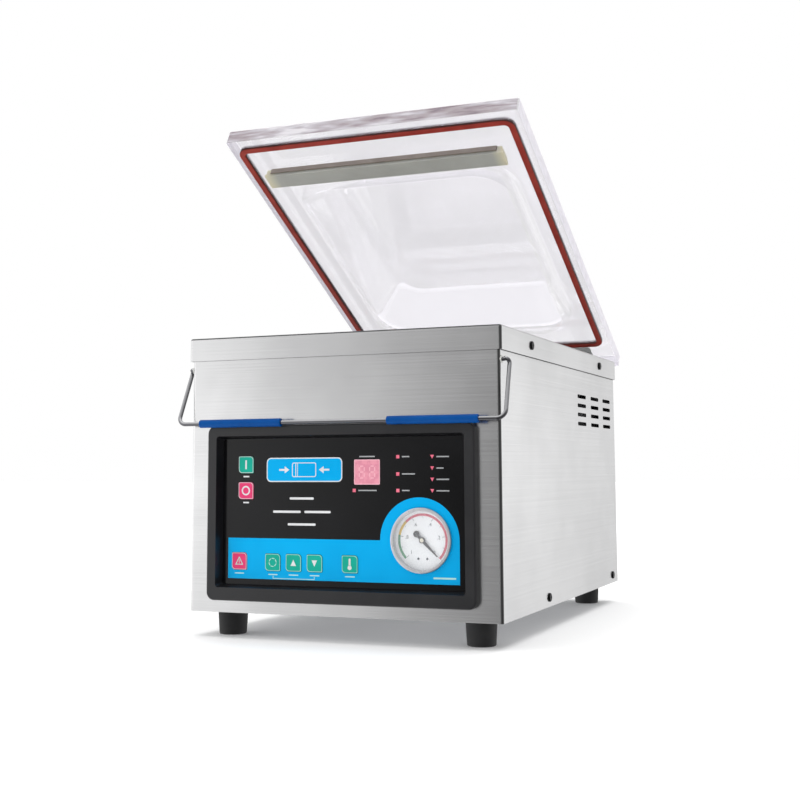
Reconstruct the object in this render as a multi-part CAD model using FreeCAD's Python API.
import FreeCAD, Part
import math
import os

from FreeCAD import Vector

os.makedirs("parts", exist_ok=True)

# Tabletop chamber vacuum packing machine.
# Millimetres. +X to the operator's right, +Y towards the rear, +Z up.
# The lid is open, held by its hinge springs; the bail hangs against the front panel.
# Pieces are drawn about the centre of the worktop cap. On export all move forward together, by
# half of what the open lid overhangs, so that the origin is on the table, centred under the machine.

X_AXIS = Vector(1, 0, 0)
Y_AXIS = Vector(0, 1, 0)
Z_AXIS = Vector(0, 0, 1)

# ---------------------------------------------------------------- driving dimensions
CAP_W = 330.0
CAP_D = 467.0
CAP_TOP = 294.0
CAP_FLANGE = 23.0
SHEET = 1.2
OVERHANG = 2.6
BEND = 3.0
FOOT_H = 24.0
CENTRING = -10.55
CAP_EDGE_ROUND = 2.0
REAR_LIP_W = 18.0
REAR_LIP_LOW = 46.0
BASE_SHEET = 1.5
BASE_EDGE_H = 18.0

BODY_HALF_W = CAP_W / 2 - OVERHANG
BODY_FRONT = -CAP_D / 2 + OVERHANG
BODY_REAR = CAP_D / 2 - OVERHANG
BODY_BASE = FOOT_H
BODY_TOP = CAP_TOP - SHEET - 0.2
CAP_FRONT = -CAP_D / 2
CAP_REAR = CAP_D / 2

# chamber tray, hung in the cap
TRAY_W = 280.0
TRAY_D = 385.0
TRAY_DEPTH = 50.0
TRAY_SHEET = 1.5
TRAY_FRONT = CAP_FRONT + 30.0
TRAY_REAR = TRAY_FRONT + TRAY_D
TRAY_FLOOR = CAP_TOP - TRAY_DEPTH
TRAY_CORNER = 22.0

# front panel
BEZEL_HALF_W = 139.5
BEZEL_LOW = 36.0
BEZEL_HIGH = 205.5
BEZEL_PROUD = 8.0
BEZEL_CORNER = 8.0
BEZEL_FLARE = 2.6
BEZEL_EDGE_ROUND = 1.6
BEZEL_LAP = 7.0
PLUG_INSET = 7.5
PLUG_CORNER = 4.0
WINDOW_CORNER = 3.0
KEY_HOLE_R = 2.6
BOSS_R = 4.0
WINDOW_HALF_W = 127.0
WINDOW_LOW = 51.2
WINDOW_HIGH = 192.6
OVERLAY_FACE = BODY_FRONT + 2.4
OVERLAY_THICK = 1.0
PANEL_FACE = OVERLAY_FACE + OVERLAY_THICK
PANEL_THICK = 3.0
PANEL_BACK = PANEL_FACE + PANEL_THICK
BOARD_FACE = PANEL_BACK + 8.0
SWITCH_FACE = BOARD_FACE - 3.5

# gauge in the front panel
GAUGE_X = 83.0
GAUGE_Z = 96.5
GAUGE_R = 30.3
GAUGE_BORE_R = 27.4
GAUGE_DIAL_Y = BODY_FRONT + 6.4

# membrane keys
KEY = 16.5
KEY_GAP = 0.25
KEY_BROAD_SHARE = 0.42
KEY_SMALL_SHARE = 0.16
KEY_PROUD = 0.7
KEY_STEM_R = 2.0
KEY_STEM_RUN = 0.08
SWITCH_HALF = 4.0
KEYS = {
    "key_on": (-101.4, 167.2),
    "key_off": (-101.4, 141.9),
    "key_stop": (-108.1, 73.6),
    "key_set": (-71.3, 73.1),
    "key_up": (-48.9, 73.1),
    "key_down": (-26.4, 73.1),
    "key_temp": (10.6, 73.1),
}
LAMPS = [
    (15.2, 142.3), (60.0, 173.8), (60.0, 157.7), (60.0, 142.3),
    (94.5, 173.6), (94.5, 163.0), (94.5, 152.6), (94.5, 142.1),
]
LAMP_HALF = 1.6
ARROW_LAMPS_FROM = 90.0
ARROW_HALF = 1.9
ARROW_HIGH = 3.4
DISPLAY = (28.5, 159.6, 26.0, 23.0)

# lid, drawn shut and then opened about the hinge
LID_W = 329.0
LID_D = 482.0
LID_THICK = 16.5
LID_OPEN = 27.56
HINGE_Y = 238.0
HINGE_Z = 271.2
LID_UNDER = 297.4
LID_REAR = 248.2
LID_FRONT = LID_REAR - LID_D
HINGE_X = 122.0
PIN_R = 2.5
PIN_RUN = 0.06
KNUCKLE_R = 4.0

# bail
BAIL_PIVOT_Y = -226.5
BAIL_PIVOT_Z = 262.2
BAIL_BAR_Y = -243.3
BAIL_BAR_Z = 207.6
BAIL_HALF_W = 171.0
BAIL_TIP_INSET = 16.0
BAIL_BENDS = [8.0, 3.6, 2.4]
WIRE_R = 2.0
GRIP_ROUND = 0.8
GRIP_R = 4.0
GRIP_FROM = 55.5
GRIP_TO = 145.5

# seal bar
SEAL_Y = -176.0
SEAL_HALF_W = 130.0
SEAL_BAR_D = 14.0
SEAL_TOP = 279.4
POST_X = 112.0
POST_R = 4.0
POST_RUN = 0.08

# pump and motor on one shaft along Y
SHAFT_X = 60.0
SHAFT_Z = 120.0
SHAFT_R = 7.0

# fasteners and vents
SCREW_R = 2.5
SCREW_HEAD_R = 4.4
SCREW_HEAD_H = 1.8
SCREW_HEAD_ROUND = 1.2
SCREW_SLOT_DEEP = 0.9
SCREW_SLOT_REACH = 2.2
SCREW_SLOT_HALF = 0.45
CAP_SCREW_LONG = 12.0
PANEL_SCREW_LONG = 8.0
BRACKET_SCREW_LONG = 9.0
FOOT_SCREW_LONG = 20.0
CAP_SCREWS = [(-135.5, 282.3), (148.5, 282.3)]
BASE_SCREWS = [(-78.5, 33.3), (203.5, 33.3)]
REAR_SCREWS = [(-151.5, 60.0), (151.5, 60.0), (-151.5, 215.0), (151.5, 215.0)]
FOOT_TOP_R = 15.0
FOOT_SOLE_R = 13.6
FOOT_SOLE_ROUND = 1.5
FOOT_RECESS_R = 6.0
FOOT_RECESS_H = 12.0
FEET = [(-131.0, -199.5), (131.0, -199.5), (-131.0, 197.5), (131.0, 197.5)]
VENT_ROWS = [242.0, 231.8, 221.6, 211.4]
VENT_COLUMNS = [70.5, 131.0, 190.5]
VENT_LONG = 38.0
VENT_HIGH = 4.2
GRILLE_RINGS = [(16.0, 6), (31.0, 10), (46.0, 14)]
GRILLE_HOLE_R = 5.2
BASE_SLOT_LONG = 26.0
BASE_SLOT_WIDE = 6.0
BASE_SLOT_PITCH_X = 26.0
BASE_SLOT_PITCH_Y = 34.0
BASE_SLOT_MIDDLE_Y = 70.0

# circuit board
BOARD_THICK = 1.6
BOARD_EXTENT = (-123.0, 49.0, 55.0, 189.0)
BOARD_HOLE_R = 1.6
CHIPS = [(-90.0, -66.0, 120.0, 132.0, 6.0), (-40.0, -22.0, 140.0, 162.0, 17.0),
         (-14.0, 4.0, 140.0, 162.0, 17.0)]
BOARD_BOSSES = [(-118.0, 60.0), (44.0, 60.0), (-118.0, 184.0), (44.0, 184.0)]

# gauge body
GAUGE_BARREL_R = 28.6
GAUGE_HOLE_R = GAUGE_BARREL_R + 0.2
GAUGE_WORKS_R = 24.0
GAUGE_STEM_R = 5.0
GAUGE_STEM_LONG = 14.0
DIAL_THICK = 0.8
NEEDLE_LONG = 21.0
NEEDLE_TAIL = 8.0
NEEDLE_HUB_R = 2.8
ARBOR_R = 0.9
ARBOR_HOLE_R = 1.4
GAUGE_LIP = OVERLAY_FACE - 2.5
GAUGE_BACK = GAUGE_DIAL_Y + 22.0
NEEDLE_REST = 45.0

# lid dome, gasket and counter bar
DOME_HALF_W = 130.0
DOME_BACK = LID_REAR - 77.0
DOME_FRONT = LID_REAR - 398.0
DOME_TOP_HALF_W = 101.0
DOME_TOP_BACK = LID_REAR - 105.0
DOME_TOP_FRONT = LID_REAR - 346.0
DOME_CORNER = 46.0
DOME_TOP_CORNER = 30.0
DOME_RISE = 62.0
DOME_WALL = 7.0
DOME_PEAK_ROUND = 16.0
DOME_HOLLOW_ROUND = 12.0
DOME_FOOT_ROUND = 9.0
LID_CORNER = 3.0
LID_EDGE_ROUND = 1.5
GASKET_HALF_W = 156.4
GASKET_BACK = LID_REAR - 52.0
GASKET_FRONT = LID_REAR - 471.0
GASKET_WIDE = 7.0
GASKET_PROUD = 3.0
GASKET_DEEP = 3.0
GASKET_CORNER = 12.0
COUNTER_X = -1.2
COUNTER_HALF_W = 136.8
COUNTER_BACK = LID_REAR - 412.0
COUNTER_FRONT = LID_REAR - 432.0
COUNTER_LOW = LID_UNDER - 9.4
COUNTER_STEP = 1.6
STRIP_HALF_W = 130.0
STRIP_PROUD = 1.6
STRIP_SUNK = 1.0
STRIP_LOW = LID_UNDER - 5.6
LID_SCREWS_Y = [208.0, 224.0]
LID_SCREW_R = 1.9
LID_SCREW_HEAD_R = 3.6
LEAF_THICK = 1.5
LEAF_HALF_W = 15.5
LEAF_FRONT = 199.0
LEAF_BACK = 242.5
LEAF_CORNER = 4.0
KNUCKLE_LONG = 6.0

# hinge brackets
BRACKET_THICK = 2.2
BRACKET_LOW = 226.0
BRACKET_HALF_W = 24.0
BRACKET_HIGH = 267.0
BRACKET_CORNER = 5.0
BRACKET_SCREW_PITCH = 15.0
BRACKET_SCREW_RISE = 8.0
EAR_WIDE = 5.0
EAR_GAP = 0.5
PIN_HEAD_R = 3.4
PIN_HEAD_H = 1.8
PIN_TAIL = 1.5
SPRING_WIRE_R = 0.6
SPRING_CLEAR = 0.5
SPRING_HALF_LONG = 8.4
SPRING_TURNS = 10

# bail bushes
BUSH_R = 3.0
BUSH_RUN = 0.08
BUSH_LONG = 6.8

# chamber fittings
PORT_X = 95.0
PORT_Y = 140.0
PORT_STEM_R = 9.0
SWITCH_X = 60.0
SWITCH_Y = 216.0
SWITCH_BORE_R = 3.4
SWITCH_TOP = CAP_TOP + 5.0
SEAL_FRONT = SEAL_Y - SEAL_BAR_D / 2
SEAL_BACK = SEAL_Y + SEAL_BAR_D / 2
SEAL_LOW = SEAL_TOP - 18.0
ELEMENT_THICK = 0.4
COVER_THICK = 0.9
POST_NUT_R = 7.0
POST_NUT_H = 3.0
BLADDER_HALF_W = 96.0
BLADDER_HALF_D = 5.5
BLADDER_CORNER = 5.0
BLADDER_ROUND = 2.5
PORT_FLANGE_R = 16.0
PORT_FLANGE_H = 3.0
PORT_STEM_LONG = 24.0
PORT_HOLE_R = 0.9

# pump set
PUMP_FRONT = -78.0
PUMP_COVER_Y = -70.0
PUMP_REAR = 50.0
PUMP_HALF_W = 62.0
PUMP_LOW = 52.0
PUMP_HIGH = 186.0
PUMP_BORE_R = 40.0
PUMP_ROTOR_R = 34.0
PUMP_OFFSET = PUMP_BORE_R - PUMP_ROTOR_R - 0.3
SHAFT_RUN = 0.06
MOTOR_R = 60.0
MOTOR_REAR = 190.0
MOTOR_FINS = 20
FAN_R = 50.0
FAN_BLADES = 7
FAN_PITCH = 32.0
COVER_SLOTS = 8
HOSE_R = 7.0
TUBE_R = 3.0

# power inlet
INLET_X = -112.0
INLET_Z = 84.0
INLET_HALF_W = 14.2
INLET_HALF_H = 10.6


# ---------------------------------------------------------------- shape helpers
def box(x0, x1, y0, y1, z0, z1):
    return Part.makeBox(x1 - x0, y1 - y0, z1 - z0, Vector(x0, y0, z0))


def cylinder(radius, start, end):
    start = Vector(*start)
    run = Vector(*end) - start
    return Part.makeCylinder(radius, run.Length, start, run)


def cone(radius_start, radius_end, start, end):
    start = Vector(*start)
    run = Vector(*end) - start
    return Part.makeCone(radius_start, radius_end, run.Length, start, run)


def fillet_where(solid, radius, test):
    edges = [edge for edge in solid.Edges if test(edge)]
    return solid.makeFillet(radius, edges)


def along(edge, axis):
    if len(edge.Vertexes) != 2:
        return False
    run = edge.Vertexes[1].Point - edge.Vertexes[0].Point
    return run.Length > 1e-6 and abs(abs(run.normalize().dot(axis)) - 1) < 1e-6


def rounded_box(x0, x1, y0, y1, z0, z1, radius, axis=Z_AXIS):
    return fillet_where(box(x0, x1, y0, y1, z0, z1), radius, lambda edge: along(edge, axis))


def rounded_wire(half_x, half_y, radius, centre):
    """Rounded rectangle in a level plane."""
    corners = [(half_x, half_y), (-half_x, half_y), (-half_x, -half_y), (half_x, -half_y)]
    edges = []
    bulge = radius * (1 - math.sqrt(0.5))
    for index, (cx, cy) in enumerate(corners):
        nx, ny = corners[(index + 1) % 4]
        sx, sy = math.copysign(1, cx), math.copysign(1, cy)
        along_x = Vector(cx - sx * radius, cy, 0)
        along_y = Vector(cx, cy - sy * radius, 0)
        middle = Vector(cx - sx * bulge, cy - sy * bulge, 0)
        first, last = (along_y, along_x) if index % 2 == 0 else (along_x, along_y)
        edges.append(Part.Arc(centre + first, centre + middle, centre + last).toShape())
        nsx, nsy = math.copysign(1, nx), math.copysign(1, ny)
        if index % 2 == 0:
            target = Vector(nx - nsx * radius, ny, 0)
        else:
            target = Vector(nx, ny - nsy * radius, 0)
        edges.append(Part.LineSegment(centre + last, centre + target).toShape())
    return Part.Wire(edges)


def prism(points, run):
    """Closed outline through points, pushed along run."""
    wire = Part.makePolygon([Vector(*p) for p in points] + [Vector(*points[0])])
    return Part.Face(wire).extrude(Vector(*run))


def routed_wire(points, radii):
    """Straight runs through points, joined by tangent arcs of the given radii."""
    points = [Vector(*p) for p in points]
    edges = []
    start = points[0]
    for index, radius in enumerate(radii, start=1):
        corner = points[index]
        back = (points[index - 1] - corner).normalize()
        ahead = (points[index + 1] - corner).normalize()
        half_turn = (math.pi - back.getAngle(ahead)) / 2
        reach = radius * math.tan(half_turn)
        bisector = (back + ahead).normalize()
        first = corner + back * reach
        last = corner + ahead * reach
        middle = corner + bisector * (radius / math.cos(half_turn) - radius)
        edges.append(Part.LineSegment(start, first).toShape())
        edges.append(Part.Arc(first, middle, last).toShape())
        start = last
    edges.append(Part.LineSegment(start, points[-1]).toShape())
    return Part.Wire(edges)


def round_bar(points, radii, radius):
    """Round bar or hose swept along a routed wire."""
    path = routed_wire(points, radii)
    heading = path.Edges[0].tangentAt(path.Edges[0].FirstParameter)
    section = Part.Wire([Part.makeCircle(radius, Vector(*points[0]), heading)])
    return path.makePipeShell([section], True, False)


def opened(shape):
    """Turn a shape of the shut lid about the hinge into its resting, open place."""
    turned = shape.copy()
    turned.rotate(Vector(0, HINGE_Y, HINGE_Z), X_AXIS, -LID_OPEN)
    return turned


def mirrored_x(shape):
    return shape.mirror(Vector(0, 0, 0), X_AXIS)


def both_sides(shape):
    return Part.makeCompound([shape, mirrored_x(shape)])


def export(name, shape):
    shape.translate(Vector(0, CENTRING, 0))
    shape.exportStep("parts/" + name + ".step")
    print(name, "solids", len(shape.Solids), "valid", shape.isValid(), "volume", round(shape.Volume))


# ---------------------------------------------------------------- fasteners and vents


def pan_screw(seat, inward, length):
    """Screw with a domed, cross-slotted head on its seat and a shank running inward."""
    seat = Vector(*seat)
    inward = Vector(*inward)
    head = Part.makeCylinder(SCREW_HEAD_R, SCREW_HEAD_H, seat, inward * -1)
    rim = [e for e in head.Edges if e.Closed and (e.CenterOfMass - seat).dot(inward) < -SCREW_HEAD_H / 2]
    head = head.makeFillet(SCREW_HEAD_ROUND, rim)
    top = seat - inward * SCREW_HEAD_H
    for bar in (X_AXIS, Y_AXIS, Z_AXIS):
        if abs(bar.dot(inward)) < 0.5:
            across = bar.cross(inward)
            size = [abs(bar[i]) * SCREW_SLOT_REACH + abs(across[i]) * SCREW_SLOT_HALF
                    + abs(inward[i]) * SCREW_SLOT_DEEP for i in range(3)]
            head = head.cut(box(top.x - size[0], top.x + size[0], top.y - size[1], top.y + size[1],
                                top.z - size[2], top.z + size[2]))
    shank = Part.makeCylinder(SCREW_R, length, seat, inward)
    return head.fuse(shank).removeSplitter()


def side_holes(places, x0, x1, radius):
    return [cylinder(radius, (s * x0, y, z), (s * x1, y, z)) for s in (-1, 1) for y, z in places]


def vent_slot(y, z):
    slot = box(-CAP_W, CAP_W, y - VENT_LONG / 2, y + VENT_LONG / 2, z - VENT_HIGH / 2, z + VENT_HIGH / 2)
    return fillet_where(slot, VENT_HIGH / 2 - 0.05, lambda edge: along(edge, X_AXIS))


# ---------------------------------------------------------------- housing
def housing_wrap():
    """Front and both sides, folded from one sheet."""
    outer = box(-BODY_HALF_W, BODY_HALF_W, BODY_FRONT, BODY_REAR, BODY_BASE, BODY_TOP)
    outer = fillet_where(outer, BEND, lambda e: along(e, Z_AXIS) and e.CenterOfMass.y < 0)
    inner_half = BODY_HALF_W - SHEET
    inner = box(-inner_half, inner_half, BODY_FRONT + SHEET, BODY_REAR + 1, BODY_BASE - 1, BODY_TOP + 1)
    inner = fillet_where(inner, BEND - SHEET, lambda e: along(e, Z_AXIS) and e.CenterOfMass.y < 0)
    wrap = outer.cut(inner)
    lip_front = BODY_REAR - 2 * SHEET - 0.1
    for side in (-1, 1):
        x_in, x_out = sorted((side * (inner_half - REAR_LIP_W), side * inner_half))
        wrap = wrap.fuse(box(x_in, x_out, lip_front, lip_front + SHEET, REAR_LIP_LOW, BODY_TOP))
    window_half = BEZEL_HALF_W - BEZEL_LAP
    window = box(-window_half, window_half, BODY_FRONT - 1, BODY_FRONT + SHEET + 1,
                 BEZEL_LOW + BEZEL_LAP, BEZEL_HIGH - BEZEL_LAP)
    cuts = [window]
    cuts += [vent_slot(y, z) for y in VENT_COLUMNS for z in VENT_ROWS]
    cuts += side_holes(CAP_SCREWS + BASE_SCREWS, inner_half - 1, BODY_HALF_W + 1, SCREW_R)
    cuts += side_holes([(BAIL_PIVOT_Y, BAIL_PIVOT_Z)], inner_half - 1, BODY_HALF_W + 1, BUSH_R)
    cuts += [cylinder(SCREW_R, (x, lip_front - 1, z), (x, BODY_REAR, z)) for x, z in REAR_SCREWS]
    return wrap.cut(cuts).removeSplitter()


def rear_panel():
    half = BODY_HALF_W - SHEET - 0.2
    panel = box(-half, half, BODY_REAR - SHEET, BODY_REAR, BODY_BASE + 0.3, BODY_TOP)
    cuts = [cylinder(SCREW_R, (x, BODY_REAR - 2, z), (x, BODY_REAR + 2, z)) for x, z in REAR_SCREWS]
    cuts += [cylinder(SCREW_R, (x, BODY_REAR - 2, z), (x, BODY_REAR + 2, z)) for x, z in bracket_screws()]
    for ring, count in GRILLE_RINGS:
        arc = 2 * math.pi / count
        for index in range(count):
            angle = (index + 0.5) * arc
            centre = (SHAFT_X + ring * math.cos(angle), SHAFT_Z + ring * math.sin(angle))
            cuts.append(cylinder(GRILLE_HOLE_R, (centre[0], BODY_REAR - 2, centre[1]),
                                 (centre[0], BODY_REAR + 2, centre[1])))
    cuts.append(box(INLET_X - INLET_HALF_W, INLET_X + INLET_HALF_W, BODY_REAR - 2, BODY_REAR + 2,
                    INLET_Z - INLET_HALF_H, INLET_Z + INLET_HALF_H))
    return panel.cut(cuts)


def base_plate():
    """Bottom tray with upturned edges, which the sides and back are screwed to."""
    half = BODY_HALF_W - SHEET - 0.1
    front = BODY_FRONT + SHEET + 0.2
    rear = BODY_REAR - SHEET - 0.1
    tray = box(-half, half, front, rear, BODY_BASE, BODY_BASE + BASE_EDGE_H)
    tray = fillet_where(tray, BEND - SHEET, lambda edge: along(edge, Z_AXIS))
    tray = tray.cut(box(-half + BASE_SHEET, half - BASE_SHEET, front + BASE_SHEET, rear - BASE_SHEET,
                        BODY_BASE + BASE_SHEET, BODY_BASE + BASE_EDGE_H + 1))
    cuts = [cylinder(SCREW_R, (x, y, BODY_BASE - 1), (x, y, BODY_BASE + 3)) for x, y in FEET]
    cuts += side_holes(BASE_SCREWS, half - BASE_SHEET - 1, half + 1, SCREW_R)
    for column in range(-3, 4):
        for row in (-1, 0, 1):
            x = column * BASE_SLOT_PITCH_X
            y = BASE_SLOT_MIDDLE_Y + row * BASE_SLOT_PITCH_Y
            slot = box(x - BASE_SLOT_WIDE / 2, x + BASE_SLOT_WIDE / 2, y - BASE_SLOT_LONG / 2,
                       y + BASE_SLOT_LONG / 2, BODY_BASE - 1, BODY_BASE + 3)
            cuts.append(fillet_where(slot, BASE_SLOT_WIDE / 2 - 0.1, lambda edge: along(edge, Z_AXIS)))
    return tray.cut(cuts)


def top_cap():
    """Worktop with a down-turned flange and the chamber opening."""
    half = CAP_W / 2
    low = CAP_TOP - CAP_FLANGE
    outer = box(-half, half, CAP_FRONT, CAP_REAR, low, CAP_TOP)
    outer = fillet_where(outer, BEND, lambda edge: along(edge, Z_AXIS))
    outer = fillet_where(outer, CAP_EDGE_ROUND, lambda edge: edge.BoundBox.ZMin > CAP_TOP - 0.01)
    inner = box(-half + SHEET, half - SHEET, CAP_FRONT + SHEET, CAP_REAR - SHEET, low - 1, CAP_TOP - SHEET)
    inner = fillet_where(inner, BEND - SHEET, lambda edge: along(edge, Z_AXIS))
    hole = tray_block(0.0, low - 1, CAP_TOP + 1)
    cap = outer.cut([inner, hole])
    cap = cap.cut(side_holes(CAP_SCREWS, half - SHEET - 1, half + 1, SCREW_R + 0.2))
    switch_hole = cylinder(SWITCH_BORE_R, (SWITCH_X, SWITCH_Y, CAP_TOP - 3),
                           (SWITCH_X, SWITCH_Y, CAP_TOP + 3))
    return cap.cut(switch_hole)


def tray_block(inset, low, high):
    return rounded_box(-TRAY_W / 2 + inset, TRAY_W / 2 - inset, TRAY_FRONT + inset, TRAY_REAR - inset,
                       low, high, TRAY_CORNER - inset)


def vacuum_chamber():
    """Deep-drawn tray, welded flush into the worktop."""
    floor_low = TRAY_FLOOR - TRAY_SHEET
    outer = tray_block(0.0, floor_low, CAP_TOP)
    outer = fillet_where(outer, 14.0, lambda edge: edge.BoundBox.ZMax < floor_low + 0.01)
    inner = tray_block(TRAY_SHEET, TRAY_FLOOR, CAP_TOP + 1)
    inner = fillet_where(inner, 12.5, lambda edge: edge.BoundBox.ZMax < TRAY_FLOOR + 0.01)
    holes = [cylinder(PORT_STEM_R, (PORT_X, PORT_Y, floor_low - 1), (PORT_X, PORT_Y, TRAY_FLOOR + 1))]
    holes += [cylinder(POST_R - 1, (x, SEAL_Y, floor_low - 1), (x, SEAL_Y, TRAY_FLOOR + 1))
              for x in (-POST_X, POST_X)]
    return outer.cut([inner] + holes)


def rubber_feet():
    feet = []
    for x, y in FEET:
        foot = cone(FOOT_SOLE_R, FOOT_TOP_R, (x, y, 0), (x, y, FOOT_H))
        foot = fillet_where(foot, FOOT_SOLE_ROUND, lambda edge: edge.Closed and edge.BoundBox.ZMax < 0.01)
        recess = cylinder(FOOT_RECESS_R, (x, y, -1), (x, y, FOOT_RECESS_H))
        bore = cylinder(SCREW_R, (x, y, FOOT_RECESS_H - 1), (x, y, FOOT_H + 1))
        feet.append(foot.cut([recess, bore]))
    return Part.makeCompound(feet)


def machine_screws():
    """All the pan-head screws of the housing."""
    screws = []
    for side in (-1, 1):
        for places, seat, length in ((CAP_SCREWS, CAP_W / 2, CAP_SCREW_LONG),
                                     (BASE_SCREWS, BODY_HALF_W, PANEL_SCREW_LONG)):
            screws += [pan_screw((side * seat, y, z), (-side, 0, 0), length) for y, z in places]
    for places, seat, length in ((REAR_SCREWS, BODY_REAR, PANEL_SCREW_LONG),
                                 (bracket_screws(), BODY_REAR + BRACKET_THICK, BRACKET_SCREW_LONG)):
        screws += [pan_screw((x, seat, z), (0, -1, 0), length) for x, z in places]
    screws += [pan_screw((x, y, FOOT_RECESS_H), (0, 0, 1), FOOT_SCREW_LONG) for x, y in FEET]
    return Part.makeCompound(screws)


# ---------------------------------------------------------------- front panel
def key_block(x, z, half, y0, y1):
    """Square pad with two opposite corners well rounded."""
    pad = box(x - half, x + half, y0, y1, z - half, z + half)

    def on_corner(edge, rising):
        run_x, run_z = edge.CenterOfMass.x - x, edge.CenterOfMass.z - z
        square = abs(abs(run_x) - half) < 1e-3 and abs(abs(run_z) - half) < 1e-3
        return along(edge, Y_AXIS) and square and (run_x * run_z > 0) == rising

    pad = fillet_where(pad, half * KEY_BROAD_SHARE, lambda edge: on_corner(edge, True))
    return fillet_where(pad, half * KEY_SMALL_SHARE, lambda edge: on_corner(edge, False))


def panel_bezel():
    """Moulded surround with a recessed floor that carries the overlay, keys, gauge and board."""
    face = BODY_FRONT - BEZEL_PROUD
    outer = rounded_box(-BEZEL_HALF_W, BEZEL_HALF_W, face, BODY_FRONT, BEZEL_LOW, BEZEL_HIGH,
                        BEZEL_CORNER, Y_AXIS)
    outer = fillet_where(outer, BEZEL_EDGE_ROUND, lambda edge: edge.BoundBox.YMax < face + 0.01)
    plug = rounded_box(-BEZEL_HALF_W + PLUG_INSET, BEZEL_HALF_W - PLUG_INSET, BODY_FRONT, PANEL_BACK,
                       BEZEL_LOW + PLUG_INSET, BEZEL_HIGH - PLUG_INSET, PLUG_CORNER, Y_AXIS)
    bezel = outer.fuse(plug)
    loops = []
    for y, flare in ((PANEL_FACE, 0.0), (face - 0.5, BEZEL_FLARE)):
        half, low, high = WINDOW_HALF_W + flare, WINDOW_LOW - flare, WINDOW_HIGH + flare
        ring = [(-half, y, low), (half, y, low), (half, y, high), (-half, y, high), (-half, y, low)]
        loops.append(Part.makePolygon([Vector(*point) for point in ring]))
    recess = Part.makeLoft(loops, True, True)
    recess = fillet_where(recess, WINDOW_CORNER,
                          lambda edge: abs(edge.tangentAt(edge.FirstParameter).y) > 0.5)
    cuts = [recess, cylinder(GAUGE_HOLE_R, (GAUGE_X, PANEL_FACE - 1, GAUGE_Z),
                             (GAUGE_X, PANEL_BACK + 1, GAUGE_Z))]
    cuts += [cylinder(KEY_HOLE_R, (x, PANEL_FACE - 1, z), (x, PANEL_BACK + 1, z)) for x, z in KEYS.values()]
    bosses = [cylinder(BOSS_R, (x, PANEL_BACK, z), (x, BOARD_FACE, z)) for x, z in BOARD_BOSSES]
    return bezel.cut(cuts).fuse(bosses).removeSplitter()


def control_overlay():
    """Printed facing of the panel, with openings for the keys, gauge, display and lamps."""
    margin = 0.2
    sheet = box(-WINDOW_HALF_W + margin, WINDOW_HALF_W - margin, OVERLAY_FACE, PANEL_FACE,
                WINDOW_LOW + margin, WINDOW_HIGH - margin)
    sheet = fillet_where(sheet, WINDOW_CORNER, lambda edge: along(edge, Y_AXIS))
    near, far = OVERLAY_FACE - 1, PANEL_FACE + 1
    cuts = [key_block(x, z, KEY / 2 + KEY_GAP, near, far) for x, z in KEYS.values()]
    cuts.append(cylinder(GAUGE_HOLE_R, (GAUGE_X, near, GAUGE_Z), (GAUGE_X, far, GAUGE_Z)))
    x, z, width, height = DISPLAY
    cuts.append(box(x - width / 2, x + width / 2, near, far, z - height / 2, z + height / 2))
    cuts += [lamp(x, z, near, far) for x, z in LAMPS]
    return sheet.cut(cuts)


def lamp(x, z, y0, y1):
    """Square lens, or a small triangle in the right-hand column."""
    if x < ARROW_LAMPS_FROM:
        return box(x - LAMP_HALF, x + LAMP_HALF, y0, y1, z - LAMP_HALF, z + LAMP_HALF)
    top = z + LAMP_HALF
    return prism([(x - ARROW_HALF, y0, top), (x + ARROW_HALF, y0, top), (x, y0, top - ARROW_HIGH)],
                 (0, y1 - y0, 0))


def indicator_lamps():
    return Part.makeCompound([lamp(x, z, OVERLAY_FACE - 0.2, PANEL_FACE) for x, z in LAMPS])


def display_window():
    x, z, width, height = DISPLAY
    front = OVERLAY_FACE - 0.3
    window = box(x - width / 2, x + width / 2, front, PANEL_FACE, z - height / 2, z + height / 2)
    return fillet_where(window, 0.2, lambda edge: edge.BoundBox.YMax < front + 0.01)


def membrane_key(x, z):
    """Pad with a stem that reaches through the panel to its tactile switch."""
    pad = key_block(x, z, KEY / 2, OVERLAY_FACE - KEY_PROUD, OVERLAY_FACE + 0.1)
    pad = fillet_where(pad, 0.3, lambda edge: edge.BoundBox.YMax < OVERLAY_FACE - KEY_PROUD + 0.01)
    return pad.fuse(cylinder(KEY_STEM_R, (x, OVERLAY_FACE, z), (x, SWITCH_FACE + 1.0, z)))


def control_board():
    x0, x1, z0, z1 = BOARD_EXTENT
    back = BOARD_FACE + BOARD_THICK
    board = box(x0, x1, BOARD_FACE, back, z0, z1)
    holes = [cylinder(BOARD_HOLE_R, (x, BOARD_FACE - 1, z), (x, back + 1, z)) for x, z in BOARD_BOSSES]
    chips = [box(x0, x1, back, BOARD_FACE + high, z0, z1) for x0, x1, z0, z1, high in CHIPS]
    return board.cut(holes).fuse(chips).removeSplitter()


def key_switches():
    """Tactile switches, bored for the key stems."""
    switches = []
    for x, z in KEYS.values():
        body = box(x - SWITCH_HALF, x + SWITCH_HALF, SWITCH_FACE, BOARD_FACE,
                   z - SWITCH_HALF, z + SWITCH_HALF)
        well = cylinder(KEY_STEM_R + KEY_STEM_RUN, (x, SWITCH_FACE - 1, z), (x, SWITCH_FACE + 2.4, z))
        switches.append(body.cut(well))
    return Part.makeCompound(switches)


# ---------------------------------------------------------------- pressure gauge


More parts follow.
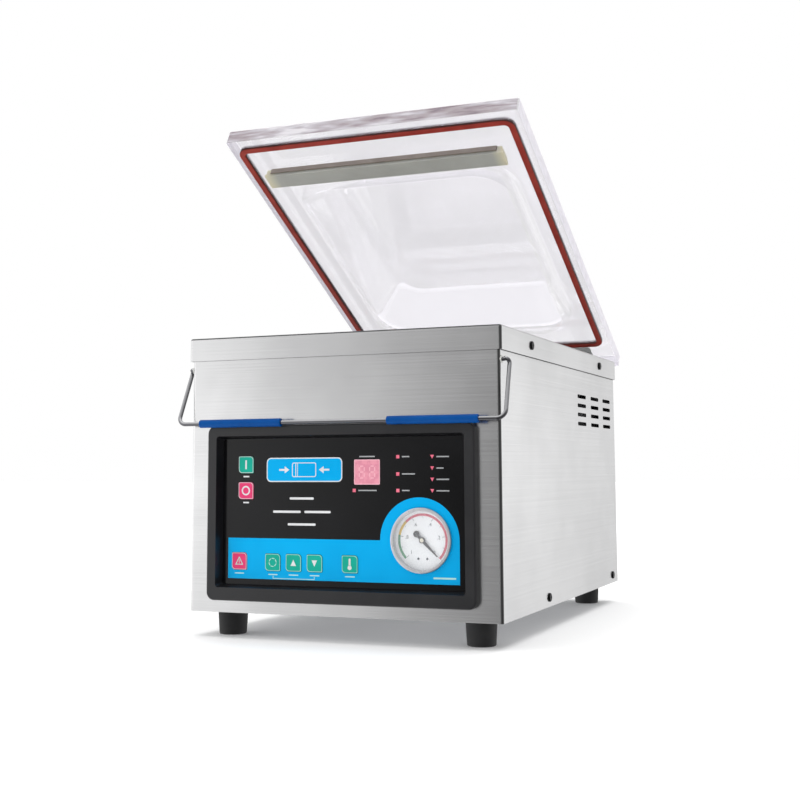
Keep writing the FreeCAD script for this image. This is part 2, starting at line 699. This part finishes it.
def gauge_case():
    rim = cylinder(GAUGE_R, (GAUGE_X, GAUGE_LIP, GAUGE_Z), (GAUGE_X, OVERLAY_FACE, GAUGE_Z))
    rim = fillet_where(rim, 0.9, lambda edge: edge.Closed and edge.BoundBox.YMax < GAUGE_LIP + 0.01)
    barrel = cylinder(GAUGE_BARREL_R, (GAUGE_X, OVERLAY_FACE, GAUGE_Z), (GAUGE_X, GAUGE_BACK, GAUGE_Z))
    stem = cylinder(GAUGE_STEM_R, (GAUGE_X, GAUGE_BACK, GAUGE_Z),
                    (GAUGE_X, GAUGE_BACK + GAUGE_STEM_LONG, GAUGE_Z))
    front = cylinder(GAUGE_BORE_R, (GAUGE_X, GAUGE_LIP - 1, GAUGE_Z),
                     (GAUGE_X, GAUGE_DIAL_Y + DIAL_THICK, GAUGE_Z))
    works = cylinder(GAUGE_WORKS_R, (GAUGE_X, GAUGE_DIAL_Y, GAUGE_Z), (GAUGE_X, GAUGE_BACK - 2.0, GAUGE_Z))
    return rim.fuse([barrel, stem]).removeSplitter().cut([front, works])


def gauge_dial():
    disc = cylinder(GAUGE_BORE_R, (GAUGE_X, GAUGE_DIAL_Y, GAUGE_Z),
                    (GAUGE_X, GAUGE_DIAL_Y + DIAL_THICK, GAUGE_Z))
    return disc.cut(cylinder(ARBOR_HOLE_R, (GAUGE_X, GAUGE_DIAL_Y - 1, GAUGE_Z),
                             (GAUGE_X, GAUGE_DIAL_Y + 2, GAUGE_Z)))


def gauge_glass():
    return cylinder(GAUGE_BORE_R, (GAUGE_X, GAUGE_LIP + 0.8, GAUGE_Z), (GAUGE_X, GAUGE_LIP + 2.3, GAUGE_Z))


def gauge_needle():
    """Needle at zero, pointing down to the right, with its hub and arbor."""
    low, high = GAUGE_DIAL_Y - 2.0, GAUGE_DIAL_Y - 1.4
    blade = prism([(-6.5, low, -1.3), (0, low, -1.6), (NEEDLE_LONG, low, -0.35), (NEEDLE_LONG, low, 0.35),
                   (0, low, 1.6), (-6.5, low, 1.3)], (0, high - low, 0))
    tail = cylinder(3.0, (-NEEDLE_TAIL, low, 0), (-NEEDLE_TAIL, high, 0))
    hub = cylinder(NEEDLE_HUB_R, (0, low - 0.8, 0), (0, GAUGE_DIAL_Y - 0.5, 0))
    arbor = cylinder(ARBOR_R, (0, GAUGE_DIAL_Y - 0.6, 0), (0, GAUGE_DIAL_Y + 8.0, 0))
    needle = blade.fuse([tail, hub, arbor]).removeSplitter()
    needle.rotate(Vector(0, 0, 0), Y_AXIS, NEEDLE_REST)
    needle.translate(Vector(GAUGE_X, 0, GAUGE_Z))
    return needle


# ---------------------------------------------------------------- lid


def level_ring(half_w, front, back, radius, z):
    centre = Vector(0, (front + back) / 2, z)
    return rounded_wire(half_w, (back - front) / 2, radius, centre)


def dome_solid(inset, base, top):
    """Tapered, round-cornered bulge, from the plane base up to the plane top."""
    low = level_ring(DOME_HALF_W - inset, DOME_FRONT + inset, DOME_BACK - inset, DOME_CORNER - inset, base)
    high = level_ring(DOME_TOP_HALF_W - inset, DOME_TOP_FRONT + inset, DOME_TOP_BACK - inset,
                      DOME_TOP_CORNER - inset, top)
    return Part.makeLoft([low, high], True, True)


def level_at(edge, z):
    return abs(edge.BoundBox.ZMin - z) < 0.01 and abs(edge.BoundBox.ZMax - z) < 0.01


def within_dome(edge):
    middle = edge.CenterOfMass
    return abs(middle.x) < DOME_HALF_W + 1 and DOME_FRONT - 1 < middle.y < DOME_BACK + 1


def lid_panel():
    """One-piece acrylic lid: thick flange, thinner domed middle, gasket groove."""
    top = LID_UNDER + LID_THICK
    peak = LID_UNDER + DOME_RISE
    flange = rounded_box(-LID_W / 2, LID_W / 2, LID_FRONT, LID_REAR, LID_UNDER, top, LID_CORNER)
    flange = fillet_where(flange, LID_EDGE_ROUND,
                          lambda edge: level_at(edge, top) or level_at(edge, LID_UNDER))
    outside = dome_solid(0.0, top - 2.0, peak)
    outside = fillet_where(outside, DOME_PEAK_ROUND, lambda edge: edge.BoundBox.ZMin > peak - 0.01)
    inside = dome_solid(DOME_WALL, LID_UNDER - 2.0, peak - DOME_WALL)
    inside = fillet_where(inside, DOME_HOLLOW_ROUND,
                          lambda edge: edge.BoundBox.ZMin > peak - DOME_WALL - 0.01)
    lid = flange.fuse(outside).removeSplitter()
    lid = fillet_where(lid, DOME_FOOT_ROUND, lambda edge: level_at(edge, top) and within_dome(edge))
    lid = lid.cut(inside)
    lid = fillet_where(lid, DOME_FOOT_ROUND, lambda edge: level_at(edge, LID_UNDER) and within_dome(edge))
    lid = lid.cut(gasket_ring(LID_UNDER - 1, LID_UNDER + GASKET_DEEP))
    holes = [cylinder(LID_SCREW_R, (x, y, LID_UNDER - 1), (x, y, LID_UNDER + 11.0))
             for x, y in lid_screw_places()]
    return opened(lid.cut(holes))


def gasket_ring(low, high):
    rings = []
    for inset in (0.0, GASKET_WIDE):
        wire = level_ring(GASKET_HALF_W - inset, GASKET_FRONT + inset, GASKET_BACK - inset,
                          GASKET_CORNER - inset, low)
        rings.append(Part.Face(wire).extrude(Vector(0, 0, high - low)))
    return rings[0].cut(rings[1])


def lid_gasket():
    ring = gasket_ring(LID_UNDER - GASKET_PROUD, LID_UNDER + GASKET_DEEP)
    low = LID_UNDER - GASKET_PROUD
    return opened(fillet_where(ring, 1.4, lambda edge: edge.BoundBox.ZMax < low + 0.01))


def counter_bar():
    """Silicone bar that the pouch is pressed against, stepped in at its ends under the lid."""
    x0, x1 = COUNTER_X - COUNTER_HALF_W, COUNTER_X + COUNTER_HALF_W
    bar = box(x0, x1, COUNTER_FRONT, COUNTER_BACK, COUNTER_LOW, LID_UNDER)
    bar = fillet_where(bar, 1.0, lambda edge: edge.BoundBox.ZMax < COUNTER_LOW + 0.01)
    steps = [box(x - COUNTER_STEP, x + COUNTER_STEP, COUNTER_FRONT - 1, COUNTER_BACK + 1,
                 STRIP_LOW, LID_UNDER + 1) for x in (x0, x1)]
    return opened(bar.cut(steps + [strip_block()]))


def counter_strip():
    return opened(strip_block())


def strip_block():
    """Rail let into the bar's front face, against the lid."""
    strip = box(COUNTER_X - STRIP_HALF_W, COUNTER_X + STRIP_HALF_W, COUNTER_FRONT - STRIP_PROUD,
                COUNTER_FRONT + STRIP_SUNK, STRIP_LOW, LID_UNDER)
    front = COUNTER_FRONT - STRIP_PROUD
    return fillet_where(strip, 0.8, lambda edge: edge.BoundBox.YMax < front + 0.01 and along(edge, Z_AXIS))


def lid_screw_places():
    return [(s * HINGE_X, y) for s in (-1, 1) for y in LID_SCREWS_Y]


def lid_screw_head(x, y):
    return cone(LID_SCREW_HEAD_R, LID_SCREW_R, (x, y, LID_UNDER - LEAF_THICK), (x, y, LID_UNDER))


def hinge_cylinder(radius, x0, x1):
    return cylinder(radius, (x0, HINGE_Y, HINGE_Z), (x1, HINGE_Y, HINGE_Z))


def lid_hinge_leaf():
    """Strap under the lid, bent down behind the worktop to two rolled knuckles."""
    x0, x1 = HINGE_X - LEAF_HALF_W, HINGE_X + LEAF_HALF_W
    under = box(x0, x1, LEAF_FRONT, LEAF_BACK, LID_UNDER - LEAF_THICK, LID_UNDER)
    under = fillet_where(under, LEAF_CORNER,
                         lambda edge: along(edge, Z_AXIS) and edge.CenterOfMass.y < LEAF_FRONT + 1)
    drop = box(x0, x1, LEAF_BACK - LEAF_THICK, LEAF_BACK, HINGE_Z, LID_UNDER)
    knuckles = [hinge_cylinder(KNUCKLE_R, x, x + KNUCKLE_LONG) for x in (x0, x1 - KNUCKLE_LONG)]
    gap = box(x0 + KNUCKLE_LONG, x1 - KNUCKLE_LONG, HINGE_Y - 2, HINGE_Y + 6, HINGE_Z - 5, HINGE_Z + 6.5)
    bore = hinge_cylinder(PIN_R + PIN_RUN, x0 - 1, x1 + 1)
    sinks = [lid_screw_head(HINGE_X, y) for y in LID_SCREWS_Y]
    return under.fuse([drop] + knuckles).removeSplitter().cut([gap, bore] + sinks)


def lid_screws():
    """Countersunk screws, hinge leaf to lid."""
    screws = []
    for x, y in lid_screw_places():
        shank = cylinder(LID_SCREW_R, (x, y, LID_UNDER), (x, y, LID_UNDER + 10.0))
        slot = box(x - 2.2, x + 2.2, y - 0.4, y + 0.4, LID_UNDER - 2, LID_UNDER - 0.9)
        screws.append(lid_screw_head(x, y).fuse(shank).removeSplitter().cut(slot))
    return opened(Part.makeCompound(screws))


# ---------------------------------------------------------------- hinge on the housing


def bracket_screws():
    return [(side * HINGE_X + run, BRACKET_LOW + BRACKET_SCREW_RISE) for side in (-1, 1)
            for run in (-BRACKET_SCREW_PITCH, BRACKET_SCREW_PITCH)]


def hinge_bracket():
    """Plate on the rear panel with two ears around the pin."""
    plate = box(HINGE_X - BRACKET_HALF_W, HINGE_X + BRACKET_HALF_W, BODY_REAR, BODY_REAR + BRACKET_THICK,
                BRACKET_LOW, BRACKET_HIGH)
    plate = fillet_where(plate, BRACKET_CORNER,
                         lambda edge: along(edge, Y_AXIS) and edge.CenterOfMass.z < BRACKET_HIGH - 1)
    ears = []
    rear = BODY_REAR + BRACKET_THICK
    for x in (HINGE_X - LEAF_HALF_W - EAR_GAP - EAR_WIDE, HINGE_X + LEAF_HALF_W + EAR_GAP):
        web = prism([(x, rear, 246.0), (x, HINGE_Y + 1.5, 256.0), (x, HINGE_Y + KNUCKLE_R, HINGE_Z),
                     (x, HINGE_Y - 3.6, HINGE_Z), (x, rear, BRACKET_HIGH - 1)], (EAR_WIDE, 0, 0))
        ears.append(web.fuse(hinge_cylinder(KNUCKLE_R, x, x + EAR_WIDE)))
    bore = hinge_cylinder(PIN_R, HINGE_X - BRACKET_HALF_W - 1, HINGE_X + BRACKET_HALF_W + 1)
    holes = [cylinder(SCREW_R, (x, BODY_REAR - 1, z), (x, rear + 1, z))
             for x, z in bracket_screws() if x > 0]
    return plate.fuse(ears).removeSplitter().cut([bore] + holes)


def hinge_pin():
    reach = LEAF_HALF_W + EAR_GAP + EAR_WIDE
    shaft = hinge_cylinder(PIN_R, HINGE_X - reach, HINGE_X + reach + PIN_TAIL)
    head = hinge_cylinder(PIN_HEAD_R, HINGE_X - reach - PIN_HEAD_H, HINGE_X - reach)
    return shaft.fuse(head).removeSplitter()


def hinge_spring():
    """Coil of the torsion spring around the pin, between the leaf's knuckles."""
    mean = PIN_R + SPRING_CLEAR + SPRING_WIRE_R
    length = 2 * SPRING_HALF_LONG
    helix = Part.makeHelix(length / SPRING_TURNS, length, mean)
    section = Part.Wire([Part.makeCircle(SPRING_WIRE_R, Vector(mean, 0, 0), Y_AXIS)])
    coil = Part.Wire(helix.Edges).makePipeShell([section], True, True)
    coil.rotate(Vector(0, 0, 0), Y_AXIS, 90)
    coil.translate(Vector(HINGE_X - SPRING_HALF_LONG, HINGE_Y, HINGE_Z))
    return coil


# ---------------------------------------------------------------- bail


def bail_wire():
    """Spring wire bail: straight front bar, raked arms, tips bent into the side bushes."""
    tip = BAIL_HALF_W - BAIL_TIP_INSET
    right = [(0, BAIL_BAR_Y, BAIL_BAR_Z), (BAIL_HALF_W, BAIL_BAR_Y, BAIL_BAR_Z), (168.4, -217.0, 269.2),
             (165.9, BAIL_PIVOT_Y, BAIL_PIVOT_Z), (tip, BAIL_PIVOT_Y, BAIL_PIVOT_Z)]
    half = round_bar(right, BAIL_BENDS, WIRE_R)
    return half.fuse(mirrored_x(half)).removeSplitter()


def bail_grips():
    grip = cylinder(GRIP_R, (GRIP_FROM, BAIL_BAR_Y, BAIL_BAR_Z), (GRIP_TO, BAIL_BAR_Y, BAIL_BAR_Z))
    grip = fillet_where(grip, GRIP_ROUND, lambda edge: edge.Closed)
    bore = cylinder(WIRE_R, (GRIP_FROM - 1, BAIL_BAR_Y, BAIL_BAR_Z), (GRIP_TO + 1, BAIL_BAR_Y, BAIL_BAR_Z))
    return both_sides(grip.cut(bore))


def pivot_cylinder(radius, x0, x1):
    return cylinder(radius, (x0, BAIL_PIVOT_Y, BAIL_PIVOT_Z), (x1, BAIL_PIVOT_Y, BAIL_PIVOT_Z))


def bail_bushes():
    body = pivot_cylinder(BUSH_R, BODY_HALF_W - BUSH_LONG, BODY_HALF_W)
    flange = pivot_cylinder(BUSH_R + 0.6, BODY_HALF_W, BODY_HALF_W + 0.6)
    bore = pivot_cylinder(WIRE_R + BUSH_RUN, BODY_HALF_W - BUSH_LONG - 1, BODY_HALF_W + 2)
    return both_sides(body.fuse(flange).removeSplitter().cut(bore))


# ---------------------------------------------------------------- chamber fittings


def seal_bar():
    bar = box(-SEAL_HALF_W, SEAL_HALF_W, SEAL_FRONT, SEAL_BACK, SEAL_LOW, SEAL_TOP - COVER_THICK)
    bar = fillet_where(bar, 1.0, lambda edge: along(edge, X_AXIS))
    grooves = [box(-SEAL_HALF_W - 1, SEAL_HALF_W + 1, y, y + 2.0, SEAL_LOW + 7.0, SEAL_LOW + 10.0)
               for y in (SEAL_FRONT - 1.0, SEAL_BACK - 1.0)]
    bores = [cylinder(POST_R + POST_RUN, (x, SEAL_Y, SEAL_LOW - 1), (x, SEAL_Y, SEAL_LOW + 13.5))
             for x in (-POST_X, POST_X)]
    return bar.cut(grooves + bores)


def seal_element():
    top = SEAL_TOP - COVER_THICK
    return box(-SEAL_HALF_W + 3, SEAL_HALF_W - 3, SEAL_Y - 1.5, SEAL_Y + 1.5, top, top + ELEMENT_THICK)


def seal_cover():
    top = SEAL_TOP - COVER_THICK
    cover = box(-SEAL_HALF_W, SEAL_HALF_W, SEAL_FRONT + 1.2, SEAL_BACK - 1.2, top, SEAL_TOP)
    return fillet_where(cover, 0.4, lambda edge: edge.BoundBox.ZMin > SEAL_TOP - 0.01).cut(seal_element())


def seal_guide_posts():
    """Brass posts in the chamber floor that guide and feed the seal bar."""
    posts = []
    for side in (-1, 1):
        x = side * POST_X
        post = cylinder(POST_R, (x, SEAL_Y, TRAY_FLOOR), (x, SEAL_Y, SEAL_LOW + 12.0))
        nut = cylinder(POST_NUT_R, (x, SEAL_Y, TRAY_FLOOR), (x, SEAL_Y, TRAY_FLOOR + POST_NUT_H))
        thread = cylinder(POST_R - 1, (x, SEAL_Y, TRAY_FLOOR - 10.0), (x, SEAL_Y, TRAY_FLOOR))
        posts.append(post.fuse([nut, thread]).removeSplitter())
    return Part.makeCompound(posts)


def seal_bladder():
    """Flat rubber bladder that lifts the bar when its inside stays at air pressure."""
    bladder = rounded_box(-BLADDER_HALF_W, BLADDER_HALF_W, SEAL_Y - BLADDER_HALF_D, SEAL_Y + BLADDER_HALF_D,
                          TRAY_FLOOR, SEAL_LOW, BLADDER_CORNER)
    return fillet_where(bladder, BLADDER_ROUND,
                        lambda edge: level_at(edge, SEAL_LOW) or level_at(edge, TRAY_FLOOR))


def vacuum_port():
    """Suction fitting in the chamber floor with a ring of strainer holes."""
    top = TRAY_FLOOR + PORT_FLANGE_H
    flange = cylinder(PORT_FLANGE_R, (PORT_X, PORT_Y, TRAY_FLOOR), (PORT_X, PORT_Y, top))
    flange = fillet_where(flange, 1.2, lambda edge: edge.Closed and edge.BoundBox.ZMin > top - 0.1)
    stem = cylinder(PORT_STEM_R, (PORT_X, PORT_Y, TRAY_FLOOR - PORT_STEM_LONG),
                    (PORT_X, PORT_Y, TRAY_FLOOR))
    port = flange.fuse(stem).removeSplitter()
    cuts = [cylinder(6.5, (PORT_X, PORT_Y, TRAY_FLOOR - 25), (PORT_X, PORT_Y, TRAY_FLOOR + 1.6))]
    for ring, count in ((0.0, 1), (4.2, 7)):
        for index in range(count):
            angle = 2 * math.pi * index / count
            x, y = PORT_X + ring * math.cos(angle), PORT_Y + ring * math.sin(angle)
            cuts.append(cylinder(PORT_HOLE_R, (x, y, TRAY_FLOOR), (x, y, top + 1)))
    return port.cut(cuts)


def lid_switch_body():
    body = box(SWITCH_X - 14.0, SWITCH_X + 14.0, SWITCH_Y - 5.0, SWITCH_Y + 5.0, 256.0, 278.0)
    neck = cylinder(5.0, (SWITCH_X, SWITCH_Y, 278.0), (SWITCH_X, SWITCH_Y, CAP_TOP - SHEET))
    bore = cylinder(2.58, (SWITCH_X, SWITCH_Y, 270.0), (SWITCH_X, SWITCH_Y, CAP_TOP + 1))
    return body.fuse(neck).removeSplitter().cut(bore)


def lid_switch_plunger():
    plunger = cylinder(2.5, (SWITCH_X, SWITCH_Y, 274.0), (SWITCH_X, SWITCH_Y, SWITCH_TOP))
    return fillet_where(plunger, 1.0, lambda edge: edge.Closed and edge.BoundBox.ZMin > SWITCH_TOP - 0.01)


# ---------------------------------------------------------------- pump set


def shaft_cylinder(radius, y0, y1):
    return cylinder(radius, (SHAFT_X, y0, SHAFT_Z), (SHAFT_X, y1, SHAFT_Z))


def pump_casing():
    """Cast block with an eccentric bore, bolted on feet."""
    block = rounded_box(SHAFT_X - PUMP_HALF_W, SHAFT_X + PUMP_HALF_W, PUMP_COVER_Y, PUMP_REAR,
                        PUMP_LOW, PUMP_HIGH, 8.0, Y_AXIS)
    foot = box(SHAFT_X - PUMP_HALF_W - 12, SHAFT_X + PUMP_HALF_W + 12, PUMP_COVER_Y + 8, PUMP_REAR - 8,
               PUMP_LOW - 6, PUMP_LOW + 2)
    stub = cylinder(11.0, (SHAFT_X, -10, PUMP_HIGH), (SHAFT_X, -10, PUMP_HIGH + 8.0))
    bore = cylinder(PUMP_BORE_R, (SHAFT_X, PUMP_COVER_Y - 1, SHAFT_Z - PUMP_OFFSET),
                    (SHAFT_X, PUMP_REAR - 14, SHAFT_Z - PUMP_OFFSET))
    way = shaft_cylinder(SHAFT_R + SHAFT_RUN, 0, PUMP_REAR + 1)
    return block.fuse([foot, stub]).removeSplitter().cut([bore, way])


def pump_cover():
    cover = rounded_box(SHAFT_X - 56, SHAFT_X + 56, PUMP_FRONT, PUMP_COVER_Y, PUMP_LOW + 10, PUMP_HIGH - 8,
                        20.0, Y_AXIS)
    way = shaft_cylinder(SHAFT_R + SHAFT_RUN, PUMP_COVER_Y - 5, PUMP_COVER_Y + 1)
    return cover.cut(way)


def pump_rotor():
    """Slotted vane rotor, pressed on the motor shaft."""
    rotor = shaft_cylinder(PUMP_ROTOR_R, PUMP_COVER_Y + 0.5, PUMP_REAR - 14.5)
    cuts = [shaft_cylinder(SHAFT_R, PUMP_COVER_Y - 1, PUMP_REAR)]
    for side in (-1, 1):
        x_in, x_out = sorted((SHAFT_X + side * 11.0, SHAFT_X + side * 40.0))
        cuts.append(box(x_in, x_out, PUMP_COVER_Y - 1, PUMP_REAR, SHAFT_Z - 2.5, SHAFT_Z + 2.5))
    return rotor.cut(cuts)


def pump_oil_case():
    """Oil and mist-filter case beside the pump."""
    case = rounded_box(-100.0, SHAFT_X - PUMP_HALF_W - 0.2, -64.0, 44.0, 58.0, 176.0, 9.0, Y_AXIS)
    case = fillet_where(case, 4.0, lambda edge: edge.BoundBox.YMax < -63.9)
    filler = cylinder(9.0, (-50, -10, 176.0), (-50, -10, 184.0))
    sight = cylinder(11.0, (-55, -64.0, 84.0), (-55, -68.0, 84.0))
    return case.fuse([filler, sight]).removeSplitter()


def pump_mounts():
    mounts = [cylinder(11.0, (x, y, BODY_BASE + BASE_SHEET), (x, y, PUMP_LOW - 6))
              for x in (SHAFT_X - 60.0, SHAFT_X + 60.0) for y in (-48.0, 28.0)]
    return Part.makeCompound(mounts)


def motor_housing():
    """Finned motor body with end walls, flanged to the pump."""
    front = PUMP_REAR
    body = shaft_cylinder(MOTOR_R - 6, front, MOTOR_REAR)
    fins = []
    for index in range(MOTOR_FINS):
        fin = box(MOTOR_R - 8, MOTOR_R, front + 12, MOTOR_REAR - 10, -1.2, 1.2)
        fin.rotate(Vector(0, 0, 0), Y_AXIS, index * 360.0 / MOTOR_FINS)
        fin.translate(Vector(SHAFT_X, 0, SHAFT_Z))
        fins.append(fin)
    flange = shaft_cylinder(MOTOR_R, front, front + 7)
    hollow = shaft_cylinder(40.0, front + 8, MOTOR_REAR - 8)
    way = shaft_cylinder(SHAFT_R + SHAFT_RUN, front - 1, MOTOR_REAR + 1)
    return body.fuse(fins + [flange]).removeSplitter().cut([hollow, way])


def motor_rotor():
    """Motor shaft with its rotor core; the pump rotor and the fan sit on its ends."""
    shaft = shaft_cylinder(SHAFT_R, PUMP_COVER_Y - 4, MOTOR_REAR + 20)
    core = shaft_cylinder(38.0, PUMP_REAR + 24, MOTOR_REAR - 24)
    return shaft.fuse(core).removeSplitter()


def cooling_fan():
    hub = shaft_cylinder(15.0, MOTOR_REAR + 3, MOTOR_REAR + 17)
    blades = []
    for index in range(FAN_BLADES):
        blade = box(13.0, FAN_R, MOTOR_REAR + 4, MOTOR_REAR + 16, -1.0, 1.0)
        blade.rotate(Vector(0, MOTOR_REAR + 10, 0), X_AXIS, FAN_PITCH)
        blade.rotate(Vector(0, 0, 0), Y_AXIS, index * 360.0 / FAN_BLADES)
        blade.translate(Vector(SHAFT_X, 0, SHAFT_Z))
        blades.append(blade)
    bore = shaft_cylinder(SHAFT_R, MOTOR_REAR, MOTOR_REAR + 30)
    return hub.fuse(blades).removeSplitter().cut(bore)


def motor_fan_cover():
    outer = shaft_cylinder(MOTOR_R - 3, MOTOR_REAR - 6, MOTOR_REAR + 26)
    inner = shaft_cylinder(MOTOR_R - 6, MOTOR_REAR - 7, MOTOR_REAR + 24)
    cuts = [inner]
    for index in range(COVER_SLOTS):
        slot = box(22.0, 46.0, MOTOR_REAR + 20, MOTOR_REAR + 30, -3.5, 3.5)
        slot.rotate(Vector(0, 0, 0), Y_AXIS, index * 360.0 / COVER_SLOTS)
        slot.translate(Vector(SHAFT_X, 0, SHAFT_Z))
        cuts.append(slot)
    return outer.cut(cuts)


# ---------------------------------------------------------------- electrics and air


def transformer_core():
    core = box(-146.0, -74.0, -150.0, -102.0, 30.0, 90.0)
    windows = [box(x, x + 18.0, -151.0, -101.0, 42.0, 78.0) for x in (-134.0, -104.0)]
    feet = box(-150.0, -70.0, -146.0, -106.0, BODY_BASE + BASE_SHEET, 30.0)
    return core.cut(windows).fuse(feet).removeSplitter()


def transformer_coil():
    winding = rounded_box(-133.0, -87.0, -162.0, -90.0, 43.0, 77.0, 10.0)
    return winding.cut(box(-116.2, -103.8, -150.2, -101.8, 40.0, 80.0)).cut(
        [box(-160.0, -134.0, -170.0, -80.0, 30.0, 90.0), box(-86.0, -60.0, -170.0, -80.0, 30.0, 90.0)])


def solenoid_valves():
    """Brass manifold with three valve coils, on a bracket from the base."""
    manifold = box(-128.0, -92.0, 62.0, 168.0, 150.0, 172.0)
    leg = box(-128.0, -92.0, 112.0, 118.0, BODY_BASE + BASE_SHEET, 150.0)
    pieces = [leg]
    for y in (82.0, 115.0, 148.0):
        pieces.append(cylinder(13.0, (-110.0, y, 172.0), (-110.0, y, 204.0)))
        pieces.append(cylinder(6.0, (-110.0, y, 204.0), (-110.0, y, 210.0)))
    return manifold.fuse(pieces).removeSplitter()


def vacuum_hose():
    """Suction hose from the chamber port to the pump inlet."""
    low = TRAY_FLOOR - PORT_STEM_LONG
    points = [(PORT_X, PORT_Y, low), (PORT_X, PORT_Y, 202.0), (SHAFT_X, 60.0, 205.0),
              (SHAFT_X, -10.0, 214.0), (SHAFT_X, -10.0, PUMP_HIGH + 8.0)]
    return round_bar(points, [15.0, 60.0, 18.0], HOSE_R)


def air_tubes():
    """Thin tubes to the manifold: one from the gauge, one from the seal bladder."""
    gauge_tube = round_bar([(GAUGE_X, GAUGE_BACK + GAUGE_STEM_LONG, GAUGE_Z), (GAUGE_X, -145.0, GAUGE_Z),
                            (-30.0, -120.0, 205.0), (-118.0, 0.0, 200.0), (-118.0, 30.0, 161.0),
                            (-118.0, 62.0, 161.0)], [25.0, 40.0, 20.0, 12.0], TUBE_R)
    bladder_tube = round_bar([(-60.0, SEAL_Y, TRAY_FLOOR - TRAY_SHEET), (-60.0, SEAL_Y, 214.0),
                              (-106.0, -20.0, 214.0), (-106.0, 36.0, 161.0), (-106.0, 62.0, 161.0)],
                             [20.0, 40.0, 14.0], TUBE_R)
    return Part.makeCompound([gauge_tube, bladder_tube])


def power_inlet():
    """Appliance inlet in the rear panel, with its socket recess."""
    flange = rounded_box(INLET_X - 17.0, INLET_X + 17.0, BODY_REAR, BODY_REAR + 2.6,
                         INLET_Z - 14.5, INLET_Z + 14.5, 3.0, Y_AXIS)
    shell = box(INLET_X - INLET_HALF_W, INLET_X + INLET_HALF_W, BODY_REAR - 20.0, BODY_REAR,
                INLET_Z - INLET_HALF_H, INLET_Z + INLET_HALF_H)
    recess = box(INLET_X - 12.0, INLET_X + 12.0, BODY_REAR - 14.0, BODY_REAR + 3.0,
                 INLET_Z - 8.0, INLET_Z + 8.0)
    corners = [e for e in recess.Edges if along(e, Y_AXIS) and e.CenterOfMass.z > INLET_Z]
    return flange.fuse(shell).removeSplitter().cut(recess.makeChamfer(5.0, corners))


# ---------------------------------------------------------------- build
BUILDERS = {
    "housing_wrap": housing_wrap,
    "rear_panel": rear_panel,
    "base_plate": base_plate,
    "top_cap": top_cap,
    "vacuum_chamber": vacuum_chamber,
    "rubber_feet": rubber_feet,
    "machine_screws": machine_screws,
    "panel_bezel": panel_bezel,
    "control_overlay": control_overlay,
    "display_window": display_window,
    "indicator_lamps": indicator_lamps,
    "control_board": control_board,
    "key_switches": key_switches,
    "gauge_case": gauge_case,
    "gauge_dial": gauge_dial,
    "gauge_glass": gauge_glass,
    "gauge_needle": gauge_needle,
    "lid_panel": lid_panel,
    "lid_gasket": lid_gasket,
    "counter_bar": counter_bar,
    "counter_strip": counter_strip,
    "lid_hinge_leaves": lambda: opened(both_sides(lid_hinge_leaf())),
    "lid_screws": lid_screws,
    "hinge_brackets": lambda: both_sides(hinge_bracket()),
    "hinge_pins": lambda: both_sides(hinge_pin()),
    "hinge_springs": lambda: both_sides(hinge_spring()),
    "bail_wire": bail_wire,
    "bail_grips": bail_grips,
    "bail_bushes": bail_bushes,
    "seal_bar": seal_bar,
    "seal_element": seal_element,
    "seal_cover": seal_cover,
    "seal_guide_posts": seal_guide_posts,
    "seal_bladder": seal_bladder,
    "vacuum_port": vacuum_port,
    "lid_switch_body": lid_switch_body,
    "lid_switch_plunger": lid_switch_plunger,
    "pump_casing": pump_casing,
    "pump_cover": pump_cover,
    "pump_rotor": pump_rotor,
    "pump_oil_case": pump_oil_case,
    "pump_mounts": pump_mounts,
    "motor_housing": motor_housing,
    "motor_rotor": motor_rotor,
    "cooling_fan": cooling_fan,
    "motor_fan_cover": motor_fan_cover,
    "transformer_core": transformer_core,
    "transformer_coil": transformer_coil,
    "solenoid_valves": solenoid_valves,
    "vacuum_hose": vacuum_hose,
    "air_tubes": air_tubes,
    "power_inlet": power_inlet,
}

for node, build in BUILDERS.items():
    export(node, build())
for node, (key_x, key_z) in KEYS.items():
    export(node, membrane_key(key_x, key_z))
